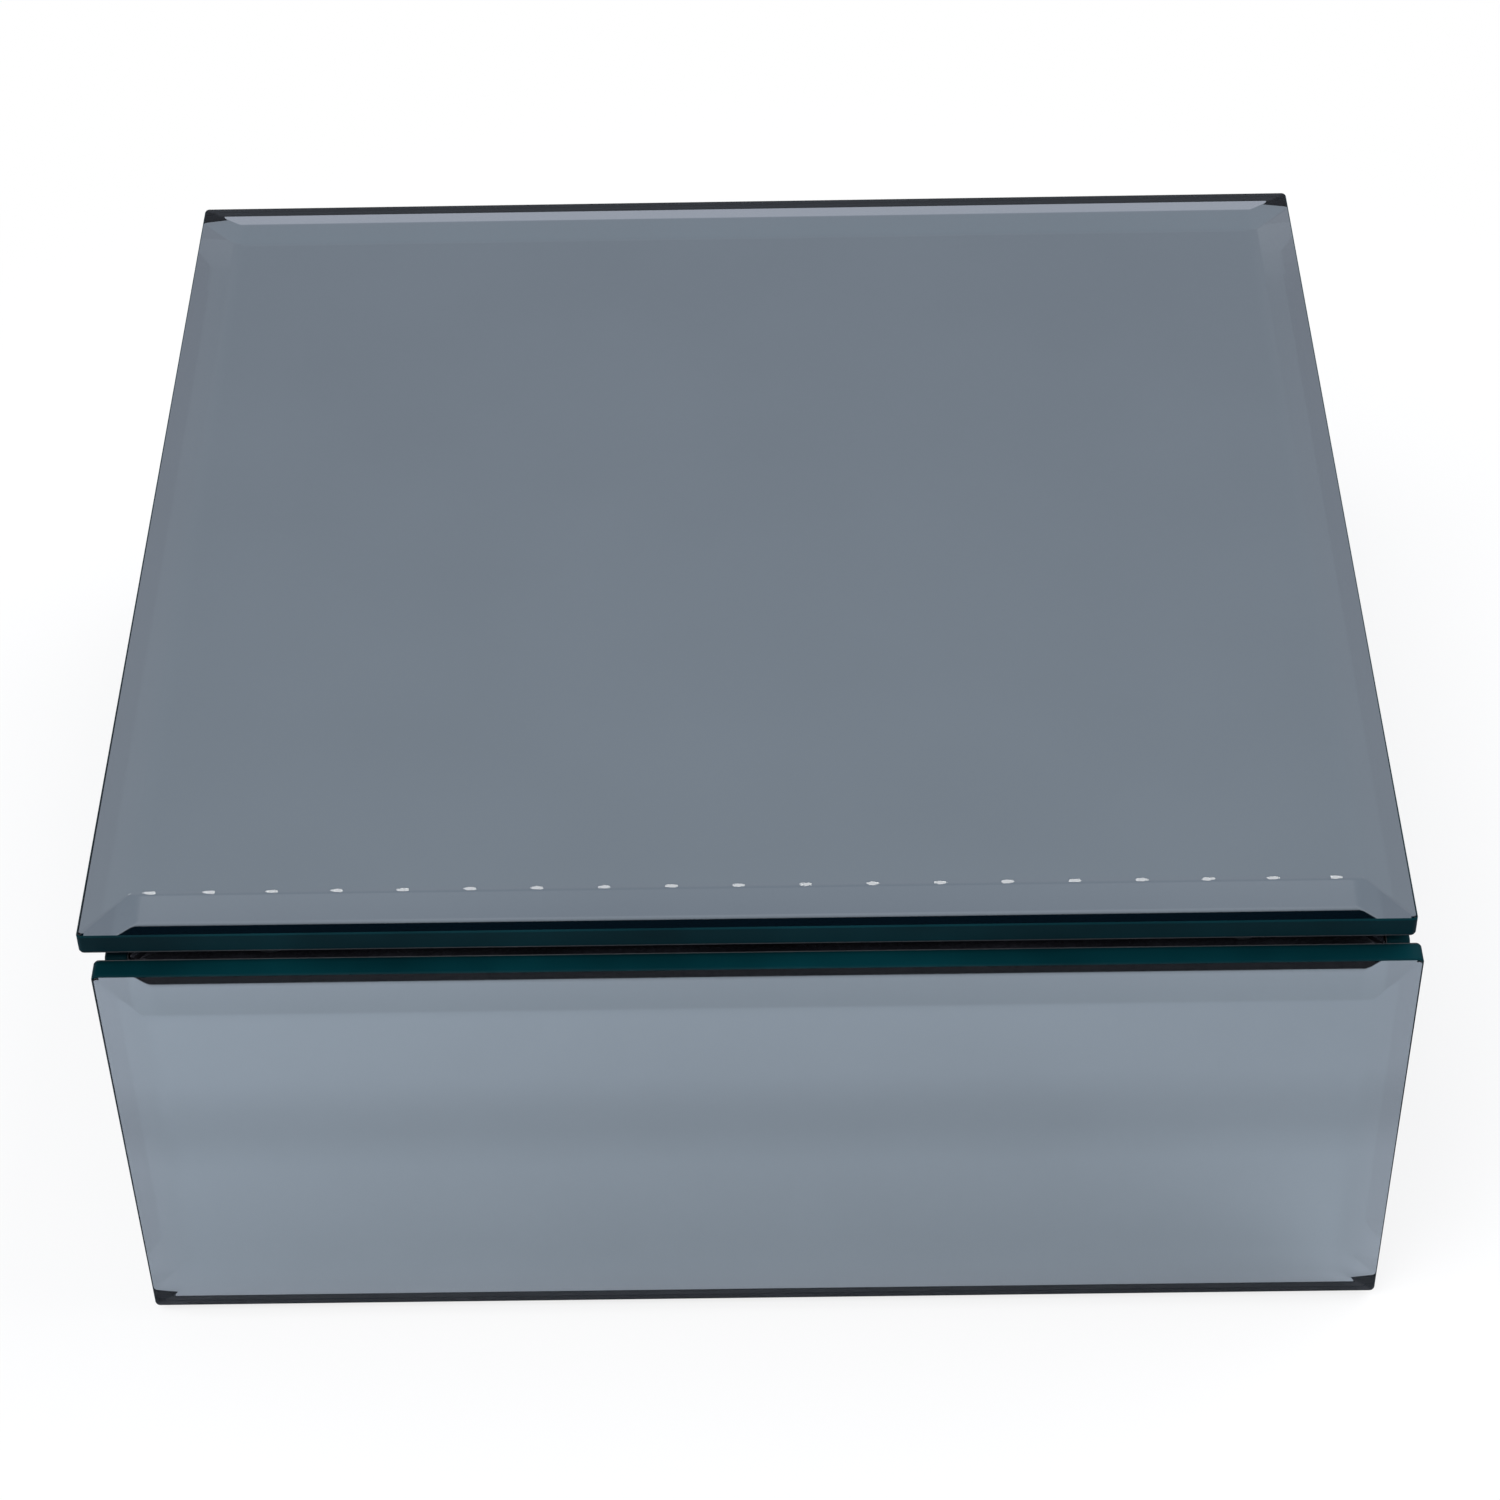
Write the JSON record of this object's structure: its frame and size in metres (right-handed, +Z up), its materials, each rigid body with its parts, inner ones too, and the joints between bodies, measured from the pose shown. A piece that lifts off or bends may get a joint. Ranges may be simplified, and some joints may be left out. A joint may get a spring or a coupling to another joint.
{
  "type": "trinket box",
  "caption": "Square mirrored-glass trinket box: bevelled mirror plates on a wooden carcass, velvet lining, a hinged lid.",
  "frame": {"origin": "centre of the body's underside, on the surface that the box stands on", "axes": "+X to the right along the front, -Y out of the front, +Z up"},
  "size_m": [0.1513, 0.1472, 0.066],
  "materials": {
    "mirror_glass": "silvered 4 mm glass with a polished bevel and ground edges",
    "carcass_board": "plain fibreboard, unpainted",
    "velvet": "black velvet with a short pile",
    "felt": "black needled felt",
    "nickel": "nickel-plated steel, lightly brushed",
    "rubber": "matt black bumper rubber"
  },
  "bodies": {
    "box": {"front_mirror": "mirror_glass", "back_mirror": "mirror_glass", "left_mirror": "mirror_glass", "right_mirror": "mirror_glass", "front_wall": "carcass_board", "back_wall": "carcass_board", "left_wall": "carcass_board", "right_wall": "carcass_board", "front_lining": "velvet", "back_lining": "velvet", "left_lining": "velvet", "right_lining": "velvet", "base_board": "carcass_board", "base_felt": "felt", "floor_pad": "velvet", "bumper_left": "rubber", "bumper_right": "rubber", "hinge_fixed_leaf_left": "nickel", "hinge_fixed_leaf_right": "nickel", "hinge_pin_left": "nickel", "hinge_pin_right": "nickel", "body_screw_left_1": "nickel", "body_screw_left_2": "nickel", "body_screw_right_1": "nickel", "body_screw_right_2": "nickel"},
    "lid": {"lid_mirror": "mirror_glass", "lid_board": "carcass_board", "lid_lining": "velvet", "hinge_lid_leaf_left": "nickel", "hinge_lid_leaf_right": "nickel", "lid_screw_left_1": "nickel", "lid_screw_left_2": "nickel", "lid_screw_right_1": "nickel", "lid_screw_right_2": "nickel"}
  },
  "joints": [
    {"name": "lid_hinge", "type": "hinge", "parent": "box", "child": "lid", "pos_m": [0, 0.07348, 0.06105], "axis": [-1, 0, 0], "range_deg": [0, 100]}
  ]
}
